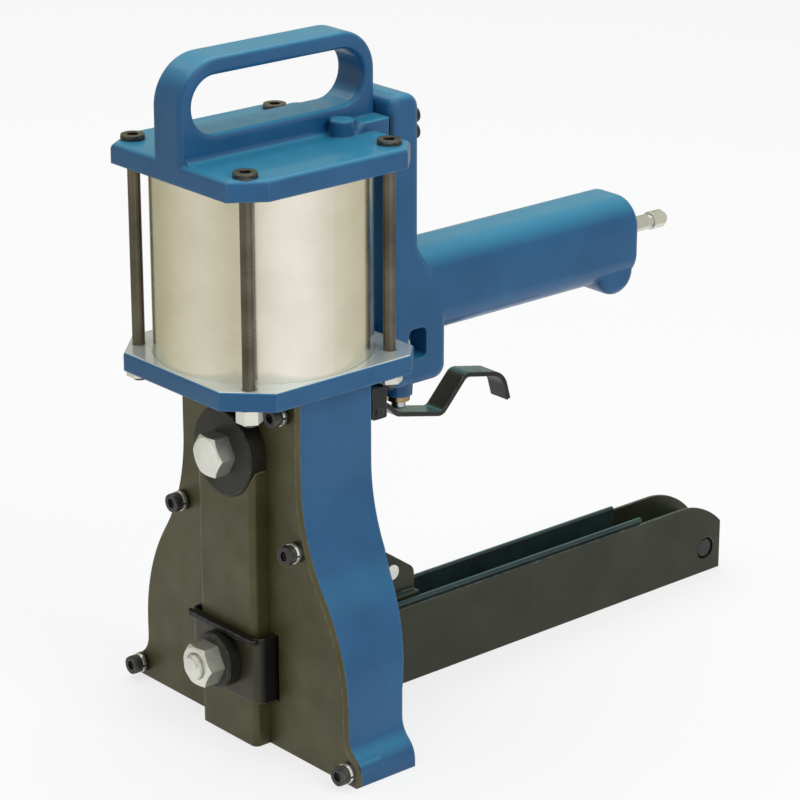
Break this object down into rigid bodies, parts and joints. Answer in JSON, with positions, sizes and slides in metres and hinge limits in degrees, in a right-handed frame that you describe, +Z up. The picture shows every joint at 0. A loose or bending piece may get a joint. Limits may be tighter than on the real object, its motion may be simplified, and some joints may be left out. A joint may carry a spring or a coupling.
{
  "type": "pneumatic carton stapler",
  "caption": "Hand-held air-driven carton stapler: cylinder with a carry handle over a flared foot with clinchers, rear grip with trigger, and a long staple magazine.",
  "frame": {"origin": "in the plane of the foot, under the axis of the air cylinder", "axes": "+Z up along the cylinder, +Y back along the magazine, +X to the right seen from the front"},
  "size_m": [0.1428, 0.2972, 0.281],
  "materials": {
    "blue_enamel": "cast aluminium under glossy blue enamel",
    "blackened_steel": "blackened steel, oiled",
    "tube_steel": "brushed along the circumference",
    "zinc_plate": "bright zinc plate",
    "black_oxide": "black oxide",
    "bright_steel": "ground steel",
    "spring_steel": "drawn wire",
    "brass": "turned brass",
    "piston_aluminium": "turned aluminium",
    "seal_rubber": "moulded rubber"
  },
  "bodies": {
    "frame": {"frame_casting": "blue_enamel", "cylinder_head": "blue_enamel", "grip_housing": "blue_enamel", "front_plate": "blackened_steel", "guide_channel": "blackened_steel", "guide_boss": "blackened_steel", "depth_strap": "blackened_steel", "strap_collar": "blackened_steel", "magazine_channel": "blackened_steel", "trigger_bracket": "blackened_steel", "magazine_rails": "blackened_steel", "magazine_end_pin": "blackened_steel", "staple_core": "blackened_steel", "cylinder_tube": "tube_steel", "guide_bolt": "zinc_plate", "strap_nut": "zinc_plate", "strap_stud": "zinc_plate", "tie_nuts": "zinc_plate", "air_plug": "zinc_plate", "plate_spring_washers": "zinc_plate", "pocket_screws": "zinc_plate", "plate_screws": "black_oxide", "plate_spacers": "black_oxide", "tie_bolts": "black_oxide", "column_screws": "black_oxide", "magazine_screws": "black_oxide", "bracket_screws": "black_oxide", "trigger_pin": "black_oxide", "clincher_pins": "bright_steel", "return_spring": "spring_steel", "valve_spring": "spring_steel", "rod_bush": "brass", "valve_bush": "brass", "base_seal": "seal_rubber", "head_seal": "seal_rubber", "bumper": "seal_rubber", "column_gaskets": "seal_rubber"},
    "piston": {"piston": "piston_aluminium", "piston_seal": "seal_rubber", "piston_rod": "bright_steel", "piston_nut": "bright_steel", "driver_holder": "bright_steel", "driver_blade": "bright_steel", "driver_screws": "black_oxide"},
    "right_clincher": {"right_clincher": "bright_steel"},
    "left_clincher": {"left_clincher": "bright_steel"},
    "trigger": {"trigger_lever": "blackened_steel"},
    "valve_stem": {"valve_stem": "bright_steel"},
    "pusher": {"pusher": "blackened_steel", "pusher_axle": "zinc_plate", "pusher_spring": "spring_steel"}
  },
  "joints": [
    {"name": "piston_slide", "type": "slide", "parent": "frame", "child": "piston", "axis": [0, 0, -1], "range_m": [0, 0.04], "stiffness_N_per_m": 400, "springref_m": -0.05, "deforming": ["return_spring"]},
    {"name": "right_clincher_swing", "type": "hinge", "parent": "frame", "child": "right_clincher", "pos_m": [0.021, 0, 0.02], "axis": [0, 1, 0], "range_deg": [0, 75]},
    {"name": "left_clincher_swing", "type": "hinge", "parent": "frame", "child": "left_clincher", "pos_m": [-0.021, 0, 0.02], "axis": [0, -1, 0], "range_deg": [0, 75]},
    {"name": "trigger_pull", "type": "hinge", "parent": "frame", "child": "trigger", "pos_m": [0, 0.052, 0.122], "axis": [1, 0, 0], "range_deg": [0, 9], "stiffness_Nm_per_rad": 0.6, "springref_deg": -8.59},
    {"name": "valve_lift", "type": "slide", "parent": "frame", "child": "valve_stem", "axis": [0, 0, 1], "range_m": [0, 0.0028], "deforming": ["valve_spring"]},
    {"name": "pusher_slide", "type": "slide", "parent": "frame", "child": "pusher", "axis": [0, 1, 0], "range_m": [0, 0.13], "stiffness_N_per_m": 12, "springref_m": -0.3}
  ],
  "couplings": [
    {"joint": "right_clincher_swing", "follows": "piston_slide", "rad_per_m": 32.72},
    {"joint": "left_clincher_swing", "follows": "piston_slide", "rad_per_m": 32.72},
    {"joint": "valve_lift", "follows": "trigger_pull", "m_per_rad": 0.016}
  ]
}
